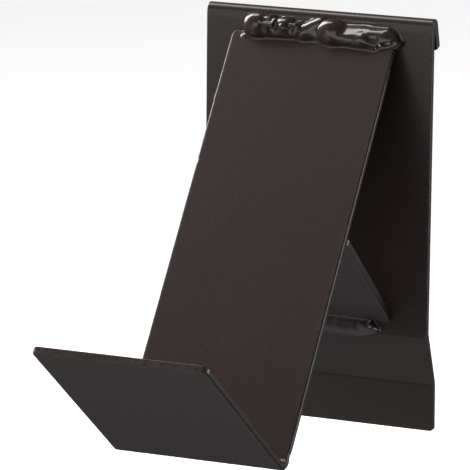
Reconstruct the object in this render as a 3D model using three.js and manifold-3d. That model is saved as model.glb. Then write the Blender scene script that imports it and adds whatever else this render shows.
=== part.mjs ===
import * as THREE from 'three';
import { mergeVertices } from 'three/addons/utils/BufferGeometryUtils.js';
import Module from 'manifold-3d';

// A stand for a photo album, bent and welded from sheet steel and painted. Sizes are millimetres.
// +X is across its width, +Y is towards the wall behind it and +Z is up. The origin is where the top
// edge of a rail sits: under the crest of the hook, against the back of the plate, at mid-width.
// Heights are measured up from the lower edge of the foot, and headings are degrees from +Y to +Z.

const sheet = 3;
const gap = 0.3;

const plateWidth = 100;
const plateHeight = 175.5;
const hookRadius = 0.3;
const hookSplay = 16;
const flapRun = 10.8;
const joggleTop = 43;
const joggleBottom = 20;
const joggleRadius = 5;
const footSetback = 9.65;
const footLean = 1.8;

const panelWidth = 72.4;
const panelShift = -0.9;
const panelTop = 165.5;
const panelLean = 37;
const panelRun = 187.3;
const panelRadius = 3;
const lipRun = 97;

const braceWidth = 72.4;
const braceShift = -1;
const braceTop = 50.2;
const braceSlope = 40.2;

// The weld beads. Each is a row of dabs between two places along X, and reach is half a dab's size along
// X, Y and Z. A bead of the top groove may start below the groove's line and climb as it goes.
const topBeads = [
  { name: 'weld_top_left', from: -28.3, to: -12.7, drop: 0, climb: 0, dabs: 6, reach: [5, 4.2, 5] },
  { name: 'weld_top_tail', from: -5.2, to: 0.9, drop: 0.6, climb: 4.6, dabs: 5, reach: [2, 2.8, 2] },
  { name: 'weld_top_right', from: 9, to: 28.5, drop: 0.3, climb: 0, dabs: 7, reach: [5.8, 4.2, 4.8] },
];
const plateBead = { name: 'weld_brace_plate', from: -31, to: 25.5, dabs: 13, reach: [3.6, 2.6, 2.9] };
const panelBead = { name: 'weld_brace_panel', from: -28, to: 24, dabs: 12, reach: [3.6, 2.9, 2.9] };
const dabSwell = 0.05;
const dabRipple = 0.12;

const footZ = sheet - plateHeight;
const headingDown = 270;
const headingPanel = headingDown - panelLean;
const headingBrace = 180 - braceSlope;

const paint = { color: 0x37312f, roughness: 0.42, metalness: 0 };
const weldPaint = { color: 0x332e2c, roughness: 0.2, metalness: 0 };

const wasm = await Module();
wasm.setup();

function radians(degrees) {
  return THREE.MathUtils.degToRad(degrees);
}

function toward(heading) {
  return new THREE.Vector2(Math.cos(radians(heading)), Math.sin(radians(heading)));
}

// The point reached from a start by going a distance along a heading.
function along(start, heading, distance) {
  return start.clone().addScaledVector(toward(heading), distance);
}

// The side view of a bent sheet. The walk follows one face, runs and bends in turn, with the sheet on
// its left. A bend is positive to the left, and its radius is the one inside the bend.
function sheetSection(start, heading, steps, thickness = sheet) {
  const face = [start.clone()];
  const back = [along(start, heading + 90, thickness)];
  let at = start.clone();
  let facing = heading;
  const note = () => {
    face.push(at.clone());
    back.push(along(at, facing + 90, thickness));
  };
  for (const step of steps) {
    if (step.run) {
      at = along(at, facing, step.run);
      note();
    } else {
      const side = Math.sign(step.bend);
      const radius = side > 0 ? step.radius + thickness : step.radius;
      const centre = along(at, facing + 90 * side, radius);
      const pieces = Math.ceil(Math.abs(step.bend) / 9);
      for (let i = 0; i < pieces; i += 1) {
        facing += step.bend / pieces;
        at = along(centre, facing - 90 * side, radius);
        note();
      }
    }
  }
  return face.concat(back.reverse());
}

// A side view in Y and Z, drawn out along X from the left edge.
function acrossWidth(section, width, shift) {
  const straight = { depth: width, bevelEnabled: false };
  const geometry = new THREE.ExtrudeGeometry(new THREE.Shape(section), straight);
  const x = new THREE.Vector3(1, 0, 0);
  const y = new THREE.Vector3(0, 1, 0);
  const z = new THREE.Vector3(0, 0, 1);
  geometry.applyMatrix4(new THREE.Matrix4().makeBasis(y, z, x));
  geometry.translate(shift - width / 2, 0, 0);
  return geometry;
}

function toSolid(geometry) {
  const bare = geometry.clone();
  bare.deleteAttribute('normal');
  bare.deleteAttribute('uv');
  const merged = mergeVertices(bare, 1e-4);
  const vertProperties = new Float32Array(merged.attributes.position.array);
  const triVerts = new Uint32Array(merged.index.array);
  return new wasm.Manifold(new wasm.Mesh({ numProp: 3, vertProperties, triVerts }));
}

function toGeometry(solid) {
  const mesh = solid.getMesh();
  const geometry = new THREE.BufferGeometry();
  geometry.setAttribute('position', new THREE.BufferAttribute(mesh.vertProperties, 3));
  geometry.setIndex(new THREE.BufferAttribute(mesh.triVerts, 1));
  geometry.computeVertexNormals();
  return geometry;
}

function named(name, geometry, look) {
  const mesh = new THREE.Mesh(geometry, new THREE.MeshStandardMaterial(look));
  mesh.name = name;
  return mesh;
}

// The back plate: hook flap, crest, flat plate, joggle and foot in one bent strip, walked along the
// flap's back, over the crest and down the front.
const hookOuter = hookRadius + sheet;
const hookCentre = new THREE.Vector2(hookRadius, sheet - hookOuter);

function plateSection() {
  const flapTop = along(hookCentre, hookSplay, hookOuter);
  const flapEnd = along(flapTop, headingDown + hookSplay, flapRun);
  const lean = Math.tan(radians(footLean));
  const joggleDepth = footSetback - lean * joggleBottom;
  const joggleDrop = joggleTop - joggleBottom;
  const slope = THREE.MathUtils.radToDeg(Math.atan2(joggleDepth, joggleDrop));
  const upperTangent = (joggleRadius + sheet) * Math.tan(radians(slope / 2));
  const lowerTangent = joggleRadius * Math.tan(radians((slope - footLean) / 2));
  const plateRun = hookCentre.y - (footZ + joggleTop) - upperTangent;
  const slopeRun = Math.hypot(joggleDepth, joggleDrop) - upperTangent - lowerTangent;
  const footRun = joggleBottom / Math.cos(radians(footLean)) - lowerTangent;
  return sheetSection(flapEnd, 90 + hookSplay, [
    { run: flapRun },
    { bend: 180 - hookSplay, radius: hookRadius },
    { run: plateRun },
    { bend: slope, radius: joggleRadius },
    { run: slopeRun },
    { bend: footLean - slope, radius: joggleRadius },
    { run: footRun },
  ]);
}

function backPlate() {
  return named('back_plate', acrossWidth(plateSection(), plateWidth, 0), paint);
}

// The front panel leans on the plate by the back corner of its square top end, and its lip turns up
// and forward at a right angle.
const panelTopBack = new THREE.Vector2(-sheet - gap, 0);
const panelStart = new THREE.Vector2(along(panelTopBack, headingPanel - 90, sheet).x, footZ + panelTop);

function frontPanel() {
  const section = sheetSection(panelStart, headingPanel, [
    { run: panelRun - panelRadius },
    { bend: -90, radius: panelRadius },
    { run: lipRun - panelRadius },
  ]);
  return named('front_panel', acrossWidth(section, panelWidth, panelShift), paint);
}

// The brace is a flat strip from the plate up to the back of the panel. Its upper face is walked, from
// the plate, until its lower corner is a gap short of the panel.
const braceStart = new THREE.Vector2(-sheet - gap, footZ + braceTop);

function braceLength() {
  const across = toward(headingPanel - 90);
  const panelBack = along(panelStart, headingPanel + 90, sheet + gap);
  const lowerCorner = along(braceStart, headingBrace + 90, sheet);
  return panelBack.sub(lowerCorner).dot(across) / toward(headingBrace).dot(across);
}

function brace() {
  const section = sheetSection(braceStart, headingBrace, [{ run: braceLength() }]);
  return named('brace', acrossWidth(section, braceWidth, braceShift), paint);
}

// Room taken by a straight piece of sheet, with the gap added all round it.
function roomFor(start, heading, run) {
  const corner = along(along(start, heading - 90, gap), heading + 180, gap);
  const section = sheetSection(corner, heading, [{ run: run + 2 * gap }], sheet + 2 * gap);
  return toSolid(acrossWidth(section, plateWidth + 2 * gap, 0));
}

// A weld bead is a row of overlapping dabs from one end to the other, fitted to the sheets beside it.
// Its dabs are largest at the ends, and every second one is a little smaller.
function weldBead(bead, ends, neighbours) {
  const [sides, rings] = [14, 10];
  let solid = null;
  for (let i = 0; i < bead.dabs; i += 1) {
    const t = i / (bead.dabs - 1);
    const size = 1 + dabSwell * Math.cos(2 * Math.PI * t) - dabRipple * (i % 2);
    const dab = new THREE.SphereGeometry(1, sides, rings);
    dab.scale(bead.reach[0], bead.reach[1] * size, bead.reach[2] * size);
    const at = new THREE.Vector3().lerpVectors(ends[0], ends[1], t);
    dab.translate(at.x, at.y, at.z);
    const added = toSolid(dab);
    solid = solid ? solid.add(added) : added;
  }
  for (const neighbour of neighbours) {
    solid = solid.subtract(neighbour);
  }
  return named(bead.name, toGeometry(solid), weldPaint);
}

const plateRoom = roomFor(new THREE.Vector2(-sheet, sheet), headingDown, plateHeight - joggleTop);
const panelRoom = roomFor(panelStart, headingPanel, panelRun / 2);
const braceRoom = roomFor(braceStart, headingBrace, braceLength());

// The three top beads lie in the groove between the plate and the panel's top end.
const grooveLine = new THREE.Vector2(panelStart.x + 0.7, panelStart.y + 2.6);

function topWeld(bead) {
  const low = grooveLine.y - bead.drop;
  const first = new THREE.Vector3(bead.from, grooveLine.x, low);
  const last = new THREE.Vector3(bead.to, grooveLine.x, low + bead.climb);
  return weldBead(bead, [first, last], [plateRoom, panelRoom]);
}

// One bead lies under the brace along the plate, and one under it along the back of the panel. The
// line of each is a little out from the corner that it fills.
const plateCorner = along(braceStart, headingBrace + 90, sheet);
const panelCorner = along(plateCorner, headingBrace, braceLength());
const plateBeadLine = plateCorner.clone().add(new THREE.Vector2(1.6, -1.6));
const panelBeadLine = along(along(panelCorner, headingBrace + 90, 0.8), headingBrace + 180, 0.8);

function braceWeld(bead, line, wall) {
  const first = new THREE.Vector3(bead.from, line.x, line.y);
  const last = new THREE.Vector3(bead.to, line.x, line.y);
  return weldBead(bead, [first, last], [wall, braceRoom]);
}

const stand = new THREE.Group();
stand.add(backPlate(), frontPanel(), brace(), ...topBeads.map(topWeld));
stand.add(braceWeld(plateBead, plateBeadLine, plateRoom), braceWeld(panelBead, panelBeadLine, panelRoom));

export default stand;
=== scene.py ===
"""The looks of a stand for a photo album: bent sheet steel, welded by hand and painted dark brown.

The shapes are worked out in millimetres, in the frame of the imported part, and become metres when a
piece is made. Side views are in Y and Z, and headings are degrees from +Y to +Z.
"""

import math
import random

import bpy
import numpy as np
from mathutils import Matrix, Vector


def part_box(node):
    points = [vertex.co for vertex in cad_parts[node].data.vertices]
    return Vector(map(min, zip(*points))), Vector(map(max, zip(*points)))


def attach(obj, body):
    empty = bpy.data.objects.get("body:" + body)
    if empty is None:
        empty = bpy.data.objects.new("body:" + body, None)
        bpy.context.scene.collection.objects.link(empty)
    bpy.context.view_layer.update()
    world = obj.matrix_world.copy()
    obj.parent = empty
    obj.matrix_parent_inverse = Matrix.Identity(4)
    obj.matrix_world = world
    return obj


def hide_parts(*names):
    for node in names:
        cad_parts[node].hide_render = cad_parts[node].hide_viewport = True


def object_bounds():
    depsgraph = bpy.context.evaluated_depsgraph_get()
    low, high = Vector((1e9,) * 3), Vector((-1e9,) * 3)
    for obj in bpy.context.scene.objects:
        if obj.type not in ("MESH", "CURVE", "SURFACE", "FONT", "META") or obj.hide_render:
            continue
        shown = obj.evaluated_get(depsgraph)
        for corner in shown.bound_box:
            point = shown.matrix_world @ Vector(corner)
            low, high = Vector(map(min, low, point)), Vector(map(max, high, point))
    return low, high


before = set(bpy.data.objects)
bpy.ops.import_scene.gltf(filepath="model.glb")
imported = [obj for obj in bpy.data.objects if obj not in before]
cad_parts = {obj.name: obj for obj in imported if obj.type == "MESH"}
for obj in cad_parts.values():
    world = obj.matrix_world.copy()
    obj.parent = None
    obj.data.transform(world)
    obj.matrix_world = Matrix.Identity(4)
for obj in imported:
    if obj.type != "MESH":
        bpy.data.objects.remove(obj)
cad_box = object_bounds()

MM = 0.001

# The bent sheets. Radii of bends are the ones inside the bend.
SHEET = 3.0
GAP = 0.3
HOOK_RADIUS = 0.3
HOOK_SPLAY = 16.0
SOFT_BEND = 7.0
SOFT_RADIUS = 14.0
FLAP_RUN = 10.8
JOGGLE_TOP = 43.0
JOGGLE_BOTTOM = 20.0
JOGGLE_RADIUS = 5.0
FOOT_SETBACK = 9.65
FOOT_LEAN = 1.8
PANEL_LEAN = 37.0
PANEL_RUN = 187.3
PANEL_RADIUS = 3.0
LIP_RUN = 97.0
BRACE_TOP = 50.2
BRACE_SLOPE = 40.2

# The paint rounds off the edges of the sheets.
EDGE_RADIUS = 0.35
PANEL_SIDE_RADIUS = 0.8
CORNER_RADIUS = 2.2
PLATE_CORNER_RADIUS = 1.4

# Lines of vertices: their steps across and along a sheet, the degrees between them in a bend, and the
# least distance between two.
ACROSS_STEP = 4.0
ALONG_STEP = 1.0
BEND_STEP = 5.0
CLOSEST_LINES = 0.15

# How far in from an edge its wear and its nicks fade out.
WEAR_REACH = 1.2
NICK_REACH = 1.5

# Weld beads are smooth fields on a grid of this step. The fillet of paint runs out on the sheets, and
# the gloss fades over a share of it. The bead is sunk into the sheets, down to its root.
BEAD_GRID = 0.3
BEAD_FILLET = 1.6
BEAD_SINK = 0.03
BEAD_ROOT = 0.6
PIT_BLEND = 0.9
SHEET_BLEND = 0.2
GLOSS_SHARE = 0.7
WAVES = 7
WAVE_LENGTHS = (2.2, 5.0)
WAVE_HEIGHT = 0.12

HEADING_DOWN = 270.0
HEADING_PANEL = HEADING_DOWN - PANEL_LEAN
HEADING_BRACE = 180.0 - BRACE_SLOPE

# The camera looks from the right and a little above, at a point on the plane of the plate's back.
CAMERA_AZIMUTH = 23.022
CAMERA_ELEVATION = 12.744
CAMERA_ROLL = 0.548
CAMERA_DISTANCE = 1.7392
CAMERA_LENS = 317.1
CAMERA_AIM = Vector((-0.03759, -0.00007, -0.09545))


# ---------------------------------------------------------------- places on the CAD part


def millimetres(node):
    """The box of a CAD node in millimetres, as two arrays."""
    low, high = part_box(node)
    return np.array(low) / MM, np.array(high) / MM


def toward(heading):
    """The unit step in Y and Z along a heading."""
    angle = math.radians(heading)
    return np.array([math.cos(angle), math.sin(angle)])


PLATE_LOW, PLATE_HIGH = millimetres("back_plate")
PANEL_LOW, PANEL_HIGH = millimetres("front_panel")
BRACE_LOW, BRACE_HIGH = millimetres("brace")
FOOT_Z = PLATE_LOW[2]

PANEL_START = np.array([-SHEET - GAP, PANEL_HIGH[2]]) + [SHEET * toward(HEADING_PANEL - 90)[0], 0]
BRACE_START = np.array([-SHEET - GAP, FOOT_Z + BRACE_TOP])


def brace_length():
    """How far the brace reaches before its lower corner meets the back of the panel."""
    square_on = toward(HEADING_PANEL - 90)
    panel_back = PANEL_START + toward(HEADING_PANEL + 90) * (SHEET + GAP)
    lower_corner = BRACE_START + toward(HEADING_BRACE + 90) * SHEET
    return (panel_back - lower_corner) @ square_on / (toward(HEADING_BRACE) @ square_on)


# ---------------------------------------------------------------- bent sheets


def walk(start, heading, steps):
    """The legs of a bent sheet's side view. Each step is a run, (length,), or a bend, (degrees, inner
    radius). The walk follows one face, and the sheet is on its left."""
    legs = []
    at = np.array(start, float)
    travelled = 0.0
    for step in steps:
        if len(step) == 1:
            legs.append({"from": travelled, "length": step[0], "at": at, "heading": heading, "turn": 0})
            at = at + toward(heading) * step[0]
            travelled += step[0]
            continue
        turn, inner = step
        side = math.copysign(1, turn)
        radius = inner + SHEET if side > 0 else inner
        length = math.radians(abs(turn)) * (inner + SHEET / 2)
        centre = at + toward(heading + 90) * side * radius
        leg = {"from": travelled, "length": length, "at": centre, "heading": heading, "turn": turn}
        leg["radius"] = side * radius
        legs.append(leg)
        heading += turn
        at = centre - toward(heading + 90) * side * radius
        travelled += length
    return legs


def place_on(legs, along, depth):
    """The Y and Z of a point at a distance along the walk and a depth into the sheet."""
    leg = legs[0]
    for candidate in legs:
        if along >= candidate["from"]:
            leg = candidate
    done = along - leg["from"]
    if leg["turn"] == 0:
        return leg["at"] + toward(leg["heading"]) * done + toward(leg["heading"] + 90) * depth
    heading = leg["heading"] + leg["turn"] * done / leg["length"]
    return leg["at"] + toward(heading + 90) * (depth - leg["radius"])


def lines_along(legs, corner):
    """Where a sheet has rows of vertices along its length: close at its ends and in its bends."""
    length = legs[-1]["from"] + legs[-1]["length"]
    ends = rounded_lines(corner, EDGE_RADIUS)
    lines = set(ends) | {length - d for d in ends}
    for leg in legs:
        step = ALONG_STEP if leg["turn"] == 0 else leg["length"] * BEND_STEP / abs(leg["turn"])
        count = max(1, round(leg["length"] / step))
        lines |= {leg["from"] + leg["length"] * i / count for i in range(count + 1)}
    return thinned([v for v in sorted(lines) if corner <= v <= length - corner], ends, length)


def lines_across(width, corner, rim):
    """Where a sheet has rows of vertices across its width: close at its edges."""
    ends = rounded_lines(corner, rim)
    count = round((width - 2 * corner) / ACROSS_STEP)
    middle = [corner + (width - 2 * corner) * i / count for i in range(count + 1)]
    return thinned(middle, ends, width)


def rounded_lines(corner, rim):
    """Distances in from an edge, set so that they follow the rounding of the edge."""
    arc = [rim * (1 - math.cos(math.radians(angle))) for angle in (0, 22.5, 45, 67.5, 90)]
    return arc + [(rim + corner) / 2, corner]


def thinned(middle, ends, length):
    """All the lines of a sheet, without those that nearly coincide."""
    lines = list(ends)
    for v in middle:
        if v - lines[-1] > CLOSEST_LINES:
            lines.append(v)
    while length - ends[-1] - lines[-1] < CLOSEST_LINES:
        lines.pop()
    return np.array(lines + [length - d for d in reversed(ends)])


def plan_grid(width, length, across, along, corner):
    """The sheet laid flat, with rounded corners: positions over it, and distances in from its edges."""
    u, v = np.meshgrid(across, along, indexing="ij")
    near_u = np.minimum(u, width - u)
    near_v = np.minimum(v, length - v)
    a = np.clip(1 - near_u / corner, 0, None)
    b = np.clip(1 - near_v / corner, 0, None)
    squeeze = np.where((a > 0) & (b > 0), np.maximum(a, b) / np.maximum(np.hypot(a, b), 1e-9), 1)
    u = u + np.where(u < width / 2, 1, -1) * a * (1 - squeeze) * corner
    v = v + np.where(v < length / 2, 1, -1) * b * (1 - squeeze) * corner
    return u, v, near_u, near_v


def rounding(distance, rim):
    """How far the face drops at a distance in from the edge."""
    inside = np.clip(rim - distance, 0, None)
    return rim - np.sqrt(rim**2 - inside**2)


def grid_faces(shape):
    """The faces of a closed slab made of two grids, a front one and a back one."""
    rows, columns = shape
    index = np.arange(rows * columns).reshape(shape)
    front = np.stack([index[:-1, :-1], index[1:, :-1], index[1:, 1:], index[:-1, 1:]], -1).reshape(-1, 4)
    back = front[:, ::-1] + rows * columns
    ring = np.concatenate([index[:, 0], index[-1, 1:], index[-2::-1, -1], index[0, -2:0:-1]])
    ahead = np.roll(ring, -1)
    side = np.stack([ahead, ring, ring + rows * columns, ahead + rows * columns], -1)
    return np.concatenate([front, back, side])


def sheet_piece(name, node, legs, left, width, corner, rim=EDGE_RADIUS, nicks=()):
    """A bent sheet with rounded edges and corners. The rim is the rounding of its long edges. A nick is
    (left or right side, distance along, depth, half-length)."""
    length = legs[-1]["from"] + legs[-1]["length"]
    across, along = lines_across(width, corner, rim), lines_along(legs, corner)
    u, v, near_u, near_v = plan_grid(width, length, across, along, corner)
    inward = np.minimum(near_u, near_v)
    for side, where, deep, reach in nicks:
        pull = deep * np.exp(-(((v - where) / reach) ** 2)) * np.exp(-inward / NICK_REACH)
        u = u + np.where(u < width / 2, 1, -1) * pull * ((u < width / 2) == (side < 0))
    drop = np.maximum(rounding(near_u, rim), rounding(near_v, EDGE_RADIUS))
    points = []
    for depths in (drop, SHEET - drop):
        for x, distance, depth in zip((left + u).ravel(), v.ravel(), depths.ravel()):
            y, z = place_on(legs, distance, depth)
            points.append((x, y, z))
    edge = np.clip(1 - (inward.ravel() - rim) / WEAR_REACH, 0, 1)
    piece = new_piece(name, node, points, grid_faces(u.shape))
    add_values(piece, "edge", np.tile(edge, 2))
    piece.modifiers.new("even_normals", "WEIGHTED_NORMAL")
    return piece


def new_piece(name, node, points, faces):
    """A smooth mesh made from points in millimetres, which stands for a CAD node."""
    mesh = bpy.data.meshes.new(name)
    vertices = [tuple(float(c) * MM for c in p) for p in points]
    mesh.from_pydata(vertices, [], [tuple(map(int, f)) for f in faces])
    mesh.validate()
    mesh.shade_smooth()
    piece = bpy.data.objects.new(name, mesh)
    bpy.context.scene.collection.objects.link(piece)
    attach(piece, "root")
    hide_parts(node)
    return piece


def add_values(piece, name, values):
    """A value for each vertex, which a material can read."""
    attribute = piece.data.attributes.new(name, "FLOAT", "POINT")
    attribute.data.foreach_set("value", np.asarray(values, np.float32))


def plate_legs():
    """The hook's flap, its crest, which eases into the plate, the joggle and the foot."""
    outer = HOOK_RADIUS + SHEET
    soft = math.radians(SOFT_BEND)
    eased = (SOFT_RADIUS - HOOK_RADIUS) * np.array([1 - math.cos(soft), math.sin(soft)])
    centre = np.array([HOOK_RADIUS + eased[0], SHEET - outer])
    flap_end = centre + toward(HOOK_SPLAY) * outer + toward(HEADING_DOWN + HOOK_SPLAY) * FLAP_RUN
    joggle_depth = FOOT_SETBACK - math.tan(math.radians(FOOT_LEAN)) * JOGGLE_BOTTOM
    joggle_drop = JOGGLE_TOP - JOGGLE_BOTTOM
    slope = math.degrees(math.atan2(joggle_depth, joggle_drop))
    upper = (JOGGLE_RADIUS + SHEET) * math.tan(math.radians(slope / 2))
    lower = JOGGLE_RADIUS * math.tan(math.radians((slope - FOOT_LEAN) / 2))
    plate_run = centre[1] - (FOOT_Z + JOGGLE_TOP) - upper - eased[1]
    slope_run = math.hypot(joggle_depth, joggle_drop) - upper - lower
    foot_run = JOGGLE_BOTTOM / math.cos(math.radians(FOOT_LEAN)) - lower
    steps = [(FLAP_RUN,), (180 - HOOK_SPLAY - SOFT_BEND, HOOK_RADIUS), (SOFT_BEND, SOFT_RADIUS)]
    steps += [(plate_run,), (slope, JOGGLE_RADIUS), (slope_run,)]
    steps += [(FOOT_LEAN - slope, JOGGLE_RADIUS), (foot_run,)]
    return walk(flap_end, 90 + HOOK_SPLAY, steps)


def make_plate():
    """The back plate, with its hook and foot."""
    width = PLATE_HIGH[0] - PLATE_LOW[0]
    return sheet_piece("plate_sheet", "back_plate", plate_legs(), PLATE_LOW[0], width, PLATE_CORNER_RADIUS)


def make_panel():
    """The leaning panel and its lip, with four small nicks in its long edges."""
    width = PANEL_HIGH[0] - PANEL_LOW[0]
    steps = [(PANEL_RUN - PANEL_RADIUS,), (-90, PANEL_RADIUS), (LIP_RUN - PANEL_RADIUS,)]
    legs = walk(PANEL_START, HEADING_PANEL, steps)
    nicks = [(-1, 60.6, 0.35, 1.2), (-1, 31.0, -0.25, 1.5), (1, 182.5, 0.4, 1.5), (1, 9.8, 0.25, 1.0)]
    left, corner, rim = PANEL_LOW[0], CORNER_RADIUS, PANEL_SIDE_RADIUS
    return sheet_piece("panel_sheet", "front_panel", legs, left, width, corner, rim, nicks)


def make_brace():
    """The flat strip between the plate and the panel."""
    width = BRACE_HIGH[0] - BRACE_LOW[0]
    legs = walk(BRACE_START, HEADING_BRACE, [(brace_length(),)])
    return sheet_piece("brace_strip", "brace", legs, BRACE_LOW[0], width, PLATE_CORNER_RADIUS)


# ---------------------------------------------------------------- weld beads


def dab(centre, radii, tilt=0.0):
    """A round lump of weld, as a field: about the distance from its surface, negative inside. Its tilt
    is in degrees about X."""
    def field(p):
        q = p - np.array(centre)
        if tilt:
            q = np.stack([q[..., 0], q[..., 1:] @ toward(tilt), q[..., 1:] @ toward(tilt + 90)], -1)
        near = np.linalg.norm(q / radii, axis=-1)
        steep = np.linalg.norm(q / np.square(radii), axis=-1)
        return near * (near - 1) / np.maximum(steep, 1e-6)
    return field


def stroke(start, end, start_radius, end_radius):
    """A roll of weld between two points."""
    def field(p):
        a, b = np.array(start, float), np.array(end, float)
        t = np.clip((p - a) @ (b - a) / ((b - a) @ (b - a)), 0, 1)
        radius = start_radius + (end_radius - start_radius) * t
        return np.linalg.norm(p - a - t[..., None] * (b - a), axis=-1) - radius
    return field


def slab(start, heading, run):
    """A straight stretch of sheet, seen from the side."""
    def field(p):
        q = p[..., 1:] - start
        along = np.abs(q @ toward(heading) - run / 2) - run / 2
        across = np.abs(q @ toward(heading + 90) - SHEET / 2) - SHEET / 2
        outside = np.hypot(np.maximum(along, 0), np.maximum(across, 0))
        return outside + np.minimum(np.maximum(along, across), 0)
    return field


def melt(first, second, blend):
    """Two fields run together, with a fillet between them."""
    close = np.maximum(blend - np.abs(first - second), 0) / blend
    return np.minimum(first, second) - close**2 * blend / 4


def melted(fields, p, blend):
    """Several fields run together."""
    total = fields[0](p)
    for field in fields[1:]:
        total = melt(total, field(p), blend)
    return total


def surface_of(field, corner, step):
    """The surface where a field on a grid is zero, as points and four-sided faces. Each grid cell that
    the surface crosses gets one point, at the mean of the crossings of its edges."""
    inside = field < 0
    size = np.array(field.shape) - 1
    total = np.zeros((*size, 3))
    count = np.zeros(size)
    whole = [slice(None), slice(None), slice(None)]
    for axis in range(3):
        low, high = list(whole), list(whole)
        low[axis], high[axis] = slice(None, -1), slice(1, None)
        f0, f1 = field[tuple(low)], field[tuple(high)]
        crossed = inside[tuple(low)] != inside[tuple(high)]
        share = np.where(crossed, f0 / np.where(crossed, f0 - f1, 1), 0)
        others = [k for k in range(3) if k != axis]
        for i in (0, 1):
            for j in (0, 1):
                cut = list(whole)
                cut[others[0]] = slice(i, i + size[others[0]])
                cut[others[1]] = slice(j, j + size[others[1]])
                hit = crossed[tuple(cut)]
                spot = np.zeros((*size, 3))
                spot[..., axis] = share[tuple(cut)]
                spot[..., others[0]] = i
                spot[..., others[1]] = j
                total += spot * hit[..., None]
                count += hit
    used = count > 0
    number = np.full(size, -1)
    number[used] = np.arange(used.sum())
    cells = np.stack(np.nonzero(used), -1)
    points = corner + (cells + total[used] / count[used][:, None]) * step
    return points, net_faces(inside, number)


def net_faces(inside, number):
    """One face across each grid edge that the surface crosses, turned to face outwards."""
    faces = []
    for axis in range(3):
        one, two = (axis + 1) % 3, (axis + 2) % 3
        low, high = [slice(1, -1)] * 3, [slice(1, -1)] * 3
        low[axis], high[axis] = slice(None, -1), slice(1, None)
        before, after = inside[tuple(low)], inside[tuple(high)]
        for leaving in (True, False):
            at = np.stack(np.nonzero((before == leaving) & (after != leaving)), -1)
            at[:, one] += 1
            at[:, two] += 1
            ring = []
            for i, j in ((1, 1), (0, 1), (0, 0), (1, 0)):
                cell = at.copy()
                cell[:, one] -= i
                cell[:, two] -= j
                ring.append(number[tuple(cell.T)])
            faces.append(np.stack(ring if leaving else ring[::-1], -1))
    return np.concatenate(faces)


def ripples(p, seed):
    """Soft waves over a bead, about 2 to 5 mm long, from -1 to 1."""
    rng = random.Random(seed)
    total = np.zeros(p.shape[:-1])
    for _ in range(WAVES):
        way = np.array([rng.gauss(0, 1) for _ in range(3)])
        way *= 2 * math.pi / (np.linalg.norm(way) * rng.uniform(*WAVE_LENGTHS))
        total += np.sin(p @ way + rng.uniform(0, 2 * math.pi))
    return total / WAVES


def bead_piece(name, node, rolls, pits, sheets, low, high, blend, shine=1.0):
    """A weld bead: rolls of metal run together, with pits in them, and a fillet of paint on to the
    sheets. Its root is sunk a little into the sheets, so that nothing shows between them."""
    low, high = np.array(low, float), np.array(high, float)
    axes = [np.arange(low[k], high[k] + BEAD_GRID, BEAD_GRID) for k in range(3)]
    p = np.stack(np.meshgrid(*axes, indexing="ij"), -1)
    metal = melted(rolls, p, blend) + WAVE_HEIGHT * ripples(p, len(rolls))
    for pit in pits:
        metal = -melt(-metal, pit(p), PIT_BLEND)
    steel = melted(sheets, p, SHEET_BLEND)
    skin = melt(metal, steel, BEAD_FILLET) + BEAD_SINK
    body = np.maximum(np.maximum(skin, metal - BEAD_FILLET), -(steel + BEAD_ROOT))
    points, faces = surface_of(body, low, BEAD_GRID)
    piece = new_piece(name, node, points, faces)
    gloss = np.clip(1 - melted(rolls, points, blend) / (GLOSS_SHARE * BEAD_FILLET), 0, 1)
    add_values(piece, "gloss", gloss * shine)
    return piece


PANEL_SLAB = slab(PANEL_START, HEADING_PANEL, PANEL_RUN)
PLATE_SLAB = slab(np.array([-SHEET, 0.0]), HEADING_DOWN, PLATE_HIGH[2] - FOOT_Z - JOGGLE_TOP)
BRACE_SLAB = slab(BRACE_START, HEADING_BRACE, brace_length())


def make_left_bead():
    """A porous bead: a large round start, then three lobes, with small ridges and pores on them. Two
    drops of spatter sit beside it."""
    rolls = [
        dab((-26.1, -5.2, -4.3), (6.4, 4.7, 5.7)),
        dab((-20.6, -5.4, -3.8), (3.4, 4.2, 4.3)),
        dab((-13.9, -5.4, -4.1), (5.0, 4.0, 4.1)),
        dab((-7.6, -5.3, -4.9), (3.6, 3.6, 3.5)),
        stroke((-26.0, -6.5, -6.2), (-8.0, -6.3, -6.2), 2.6, 2.2),
        stroke((-23.6, -9.4, -2.6), (-19.0, -9.4, -3.0), 0.5, 0.5),
        stroke((-18.4, -8.7, -3.4), (-17.5, -7.2, -0.9), 0.9, 0.7),
        dab((-18.4, -9.2, -3.5), (0.9, 0.8, 0.8)),
        dab((-14.0, -9.1, -3.5), (0.9, 0.7, 0.9)),
        dab((-11.4, -8.7, -3.9), (0.8, 0.8, 0.7)),
        dab((-9.7, -8.2, -2.6), (0.9, 0.8, 0.8)),
        dab((-8.0, -8.2, -2.6), (0.8, 0.8, 0.8)),
        dab((-6.3, -8.4, -4.6), (0.7, 0.7, 0.7)),
        dab((-31.4, -7.4, -9.1), (0.5, 0.4, 0.5)),
        dab((-22.9, -3.0, 0.3), (0.6, 0.4, 0.5)),
    ]
    pits = [
        dab((-20.9, -8.9, -1.3), (2.0, 0.8, 0.8)),
        dab((-16.4, -9.3, -2.9), (0.8, 0.8, 0.9)),
        dab((-11.0, -8.9, -3.1), (0.7, 0.6, 0.6)),
    ]
    low, high = (-36.0, -11.5, -12.5), (-2.0, -2.0, 3.2)
    return bead_piece("bead_left", "weld_top_left", rolls, pits, [PANEL_SLAB, PLATE_SLAB], low, high, 0.9)


def make_tail_bead():
    """A short ridge that climbs from the end of the left bead to the plate, over a low filling."""
    rolls = [
        stroke((-4.9, -5.0, -5.6), (1.7, -4.4, -2.1), 3.7, 3.3),
        stroke((-8.0, -5.6, -6.6), (3.0, -5.8, -6.8), 2.3, 2.4),
    ]
    low, high = (-12.0, -10.5, -12.5), (7.5, -2.0, 3.2)
    return bead_piece("bead_tail", "weld_top_tail", rolls, [], [PANEL_SLAB, PLATE_SLAB], low, high, 2.0)


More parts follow.
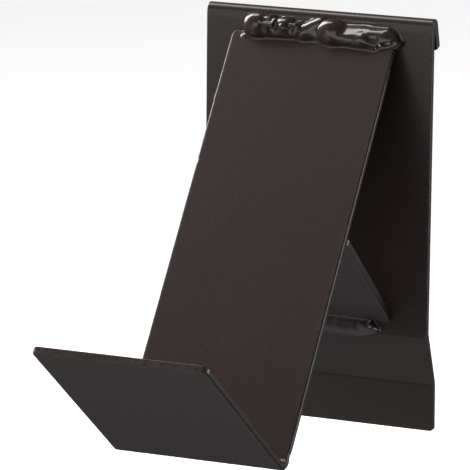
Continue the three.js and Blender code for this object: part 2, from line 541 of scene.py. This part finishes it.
def make_right_bead():
    """A smooth bead: a large round start, a broad sloping roll over a narrow one, and a low end."""
    rolls = [
        dab((6.7, -5.3, -5.1), (6.8, 4.9, 5.8)),
        dab((20.0, -4.6, -5.4), (15.0, 5.2, 3.4), 38),
        stroke((8.0, -6.8, -6.9), (20.5, -7.1, -6.9), 2.7, 2.5),
        stroke((20.5, -7.1, -6.9), (26.8, -7.4, -9.0), 2.4, 1.6),
        dab((30.0, -4.5, -6.2), (5.4, 3.0, 3.8)),
        stroke((31.0, -4.4, -3.3), (35.2, -4.7, -6.6), 1.2, 0.9),
    ]
    pits = [dab((26.4, -9.6, -5.2), (3.0, 1.8, 1.9))]
    low, high = (-3.0, -12.0, -13.5), (38.5, -2.0, 3.2)
    return bead_piece("bead_right", "weld_top_right", rolls, pits, [PANEL_SLAB, PLATE_SLAB], low, high, 1.8)


def make_plate_bead():
    """A soft flat bead under the brace, along the plate. It sags away from the brace on the right, over a
    thin roll that fills the gap, and ends in a lump."""
    corner_y, corner_z = BRACE_START + toward(HEADING_BRACE + 90) * SHEET
    rolls = [
        dab((-20.0, corner_y + 1.2, corner_z - 2.5), (17.0, 3.7, 1.7), 105),
        dab((2.0, corner_y + 1.3, corner_z - 3.0), (19.0, 3.6, 1.6), 105),
        dab((15.0, corner_y + 1.4, corner_z - 3.7), (14.0, 3.2, 1.4), 103),
        stroke((-4.0, corner_y + 1.5, corner_z - 0.9), (24.0, corner_y + 1.5, corner_z - 1.1), 1.6, 1.3),
        dab((24.0, corner_y + 0.7, corner_z - 2.2), (2.6, 1.5, 1.3)),
    ]
    low, high = (-40.0, -9.5, corner_z - 9.0), (38.0, -2.0, corner_z + 3.5)
    sheets = [BRACE_SLAB, PLATE_SLAB]
    return bead_piece("bead_plate_brace", "weld_brace_plate", rolls, [], sheets, low, high, 2.0, 0.1)


def make_panel_bead():
    """A bead under the brace, along the back of the panel."""
    lower = BRACE_START + toward(HEADING_BRACE + 90) * SHEET
    corner_y, corner_z = lower + toward(HEADING_BRACE) * brace_length()
    first, pitch, count = -28.5, 4.4, 13
    half_length, thickness = 2.9, 2.4
    rng = random.Random(5)
    rolls = []
    for i in range(count):
        size = thickness + rng.uniform(-0.15, 0.25)
        centre = (first + pitch * i, corner_y + 0.9, corner_z - 1.2)
        rolls.append(dab(centre, (half_length, size, size)))
    low, high = (-35.0, corner_y - 6.0, corner_z - 7.0), (30.5, corner_y + 7.0, corner_z + 4.0)
    sheets = [BRACE_SLAB, PANEL_SLAB]
    return bead_piece("bead_panel_brace", "weld_brace_panel", rolls, [], sheets, low, high, 1.2, 0.6)


# ---------------------------------------------------------------- materials


class Nodes:
    """A few short ways to add and join the nodes of a material."""

    def __init__(self, name):
        self.material = bpy.data.materials.new(name)
        self.material.use_nodes = True
        self.tree = self.material.node_tree
        self.tree.nodes.clear()
        self.shader = self.tree.nodes.new("ShaderNodeBsdfPrincipled")
        output = self.tree.nodes.new("ShaderNodeOutputMaterial")
        self.join(self.shader.outputs[0], output.inputs[0])
        self.place = self.tree.nodes.new("ShaderNodeTexCoord").outputs["Object"]

    def join(self, source, socket):
        self.tree.links.new(source, socket)

    def noise(self, size, detail=2.0, roughness=0.5):
        """Noise whose bumps are about this many millimetres across."""
        node = self.tree.nodes.new("ShaderNodeTexNoise")
        self.join(self.place, node.inputs["Vector"])
        node.inputs["Scale"].default_value = 1 / (size * MM)
        node.inputs["Detail"].default_value = detail
        node.inputs["Roughness"].default_value = roughness
        return node.outputs["Fac"]

    def spots(self, size):
        """The distance from the nearest of many scattered points, in cells of this size."""
        node = self.tree.nodes.new("ShaderNodeTexVoronoi")
        self.join(self.place, node.inputs["Vector"])
        node.inputs["Scale"].default_value = 1 / (size * MM)
        return node.outputs["Distance"]

    def clear_from_behind(self):
        """Makes the back of a surface invisible."""
        output = next(node for node in self.tree.nodes if node.type == "OUTPUT_MATERIAL")
        back = self.tree.nodes.new("ShaderNodeNewGeometry").outputs["Backfacing"]
        clear = self.tree.nodes.new("ShaderNodeBsdfTransparent")
        mix = self.tree.nodes.new("ShaderNodeMixShader")
        self.join(back, mix.inputs[0])
        self.join(self.shader.outputs[0], mix.inputs[1])
        self.join(clear.outputs[0], mix.inputs[2])
        self.join(mix.outputs[0], output.inputs[0])

    def attribute(self, name):
        node = self.tree.nodes.new("ShaderNodeAttribute")
        node.attribute_name = name
        return node.outputs["Fac"]

    def range(self, value, low, high, to_low=0.0, to_high=1.0):
        """A value moved from one range to another, and kept inside it."""
        node = self.tree.nodes.new("ShaderNodeMapRange")
        self.join(value, node.inputs["Value"])
        for key, number in (("From Min", low), ("From Max", high), ("To Min", to_low), ("To Max", to_high)):
            node.inputs[key].default_value = number
        return node.outputs["Result"]

    def math(self, operation, first, second):
        node = self.tree.nodes.new("ShaderNodeMath")
        node.operation = operation
        for socket, value in zip(node.inputs, (first, second)):
            if isinstance(value, (int, float)):
                socket.default_value = value
            else:
                self.join(value, socket)
        return node.outputs[0]

    def mix(self, share, first, second):
        node = self.tree.nodes.new("ShaderNodeMix")
        node.data_type = "RGBA"
        self.join(share, node.inputs["Factor"])
        for key, value in (("A", first), ("B", second)):
            socket = next(s for s in node.inputs if s.name == key and s.type == "RGBA")
            if isinstance(value, tuple):
                socket.default_value = value
            else:
                self.join(value, socket)
        return next(s for s in node.outputs if s.type == "RGBA")

    def bump(self, height, distance, below=None):
        """A bump whose height of 1 stands for this many millimetres."""
        node = self.tree.nodes.new("ShaderNodeBump")
        node.inputs["Distance"].default_value = distance * MM
        self.join(height, node.inputs["Height"])
        if below is not None:
            self.join(below, node.inputs["Normal"])
        return node.outputs["Normal"]


PAINT = (0.038, 0.0262, 0.0250, 1.0)
PAINT_WARM = (0.041, 0.0280, 0.0266, 1.0)
PAINT_WORN = (0.085, 0.078, 0.074, 1.0)
BARE_CHIP = (0.30, 0.28, 0.26, 1.0)


def sheet_paint():
    """Semi-gloss paint with orange peel, faint clouds, dust and small chips along the edges."""
    nodes = Nodes("dark_paint")
    clouds = nodes.mix(nodes.range(nodes.noise(38, 3), 0.35, 0.65), PAINT, PAINT_WARM)
    edge = nodes.attribute("edge")
    ragged = nodes.math("MULTIPLY", edge, nodes.range(nodes.noise(2.2, 4), 0.42, 0.72))
    worn = nodes.mix(nodes.math("MULTIPLY", ragged, 0.5), clouds, PAINT_WORN)
    near_edge = nodes.range(edge, 0.55, 0.9)
    chips = nodes.math("MULTIPLY", nodes.range(nodes.spots(3.4), 0.10, 0.06), near_edge)
    rare = nodes.math("MULTIPLY", chips, nodes.range(nodes.noise(11, 1), 0.56, 0.6))
    nodes.join(nodes.mix(rare, worn, BARE_CHIP), nodes.shader.inputs["Base Color"])
    broad = nodes.range(nodes.noise(30, 2), 0.3, 0.7, 0.273, 0.283)
    fine = nodes.math("ADD", broad, nodes.range(nodes.noise(0.8, 2), 0.3, 0.7, -0.012, 0.012))
    rough = nodes.math("ADD", fine, nodes.math("MULTIPLY", rare, 0.2))
    nodes.join(rough, nodes.shader.inputs["Roughness"])
    peel = nodes.bump(nodes.noise(1.9, 1.5, 0.45), 0.018)
    dust = nodes.bump(nodes.range(nodes.spots(5.0), 0.07, 0.02), 0.03, peel)
    nodes.join(dust, nodes.shader.inputs["Normal"])
    return nodes.material


def bead_paint():
    """The same paint, thick and glossy over the weld, and as dull as the sheets' at its rim."""
    nodes = Nodes("dark_paint_on_weld")
    clouds = nodes.mix(nodes.range(nodes.noise(6, 3), 0.35, 0.65), PAINT, PAINT_WARM)
    nodes.join(clouds, nodes.shader.inputs["Base Color"])
    rough = nodes.range(nodes.attribute("gloss"), 0.1, 0.8, 0.29, 0.19)
    nodes.join(rough, nodes.shader.inputs["Roughness"])
    nodes.shader.inputs["IOR"].default_value = 1.65
    ripple = nodes.bump(nodes.noise(2.4, 2, 0.5), 0.02)
    nodes.join(ripple, nodes.shader.inputs["Normal"])
    return nodes.material


# ---------------------------------------------------------------- floor, lights and camera


LAMP_DISTANCE = 1.5
FLOOR_DROP = 0.25
FLOOR_SIZE = 12.0
FLOOR_GLOW = 0.75
BACKDROP_GLOW = 1.1
ROOM_GLOW = 0.10


def direction(azimuth, elevation):
    """The way to a place round the stand. Azimuth 0 is in front of it and -90 on its left."""
    a, e = math.radians(azimuth), math.radians(elevation)
    return Vector((math.sin(a) * math.cos(e), -math.cos(a) * math.cos(e), math.sin(e)))


def softbox(name, azimuth, elevation, width, height, brightness):
    """A rectangular lamp that faces the stand, with its size in metres. Its brightness is the light that
    leaves its surface."""
    lamp = bpy.data.lights.new(name, "AREA")
    lamp.shape = "RECTANGLE"
    lamp.size = width
    lamp.size_y = height
    lamp.energy = brightness * math.pi * width * height
    holder = bpy.data.objects.new(name, lamp)
    bpy.context.scene.collection.objects.link(holder)
    way = direction(azimuth, elevation)
    holder.location = (cad_box[0] + cad_box[1]) / 2 + way * LAMP_DISTANCE
    holder.rotation_euler = way.to_track_quat("Z", "Y").to_euler()
    holder.visible_camera = False
    return holder


def make_floor():
    """A plain white floor, below the stand as the stand hangs. It isn't reflected in the paint, and it
    is clear from below."""
    z = cad_box[0].z - FLOOR_DROP
    half = FLOOR_SIZE / 2
    corners = [(-half, -half, z), (half, -half, z), (half, half, z), (-half, half, z)]
    mesh = bpy.data.meshes.new("floor")
    mesh.from_pydata(corners, [], [(0, 1, 2, 3)])
    floor = bpy.data.objects.new("floor", mesh)
    bpy.context.scene.collection.objects.link(floor)
    nodes = Nodes("floor_white")
    clouds = nodes.mix(nodes.noise(90, 2), (0.84, 0.84, 0.84, 1), (0.88, 0.88, 0.88, 1))
    nodes.join(clouds, nodes.shader.inputs["Base Color"])
    nodes.shader.inputs["Roughness"].default_value = 0.9
    nodes.shader.inputs["Emission Color"].default_value = (1, 1, 1, 1)
    nodes.shader.inputs["Emission Strength"].default_value = FLOOR_GLOW
    nodes.clear_from_behind()
    mesh.materials.append(nodes.material)
    floor.visible_glossy = False
    floor.visible_diffuse = False


def make_world():
    """White behind the stand, and a dim grey room around it for its paint to reflect."""
    world = bpy.data.worlds.new("studio")
    bpy.context.scene.world = world
    world.use_nodes = True
    tree = world.node_tree
    tree.nodes.clear()
    seen = tree.nodes.new("ShaderNodeBackground")
    room = tree.nodes.new("ShaderNodeBackground")
    seen.inputs["Color"].default_value = (1, 1, 1, 1)
    seen.inputs["Strength"].default_value = BACKDROP_GLOW
    room.inputs["Color"].default_value = (1, 1, 1, 1)
    room.inputs["Strength"].default_value = ROOM_GLOW
    path = tree.nodes.new("ShaderNodeLightPath")
    mix = tree.nodes.new("ShaderNodeMixShader")
    output = tree.nodes.new("ShaderNodeOutputWorld")
    tree.links.new(path.outputs["Is Camera Ray"], mix.inputs[0])
    tree.links.new(room.outputs[0], mix.inputs[1])
    tree.links.new(seen.outputs[0], mix.inputs[2])
    tree.links.new(mix.outputs[0], output.inputs[0])


def make_lights():
    """A wide soft light on the left that the paint doesn't mirror, so that no face glares when it is seen
    at a low angle, and a narrower one that it does. One overhead, one behind on the right, and faint
    fills."""
    wide = softbox("left_wide", -92, 22, 1.15, 1.65, 8.3)
    wide.visible_glossy = False
    strip = softbox("left_strip", -104, 31, 0.62, 1.25, 11.0)
    strip.visible_diffuse = False
    softbox("overhead", -105, 67, 0.5, 0.8, 6.0)
    softbox("right_behind", 128, 0, 0.8, 0.8, 3.8)
    softbox("front_fill", -2, 9, 1.8, 0.8, 1.1)
    softbox("front_low", -34, -16, 0.9, 0.8, 0.38)
    softbox("below", -70, -66, 1.6, 1.6, 0.35)
    softbox("right_below", 30, -40, 0.55, 0.55, 5.5)


def make_camera():
    data = bpy.data.cameras.new("camera")
    data.lens = CAMERA_LENS
    data.sensor_width = 36.0
    data.dof.use_dof = False
    data.clip_start = 0.05
    data.clip_end = 50.0
    camera = bpy.data.objects.new("camera", data)
    bpy.context.scene.collection.objects.link(camera)
    back = direction(CAMERA_AZIMUTH, CAMERA_ELEVATION)
    turn = back.to_track_quat("Z", "Y").to_matrix().to_4x4()
    roll = Matrix.Rotation(math.radians(CAMERA_ROLL), 4, "Z")
    camera.matrix_world = Matrix.Translation(CAMERA_AIM + back * CAMERA_DISTANCE) @ turn @ roll
    bpy.context.scene.camera = camera


# ---------------------------------------------------------------- the whole


sheets_made = [make_plate(), make_panel(), make_brace()]
beads_made = [make_left_bead(), make_tail_bead(), make_right_bead(), make_plate_bead(), make_panel_bead()]
for pieces, paint in ((sheets_made, sheet_paint()), (beads_made, bead_paint())):
    for made in pieces:
        made.data.materials.append(paint)

make_floor()
make_world()
make_lights()
make_camera()
bpy.context.scene.view_settings.view_transform = "Standard"
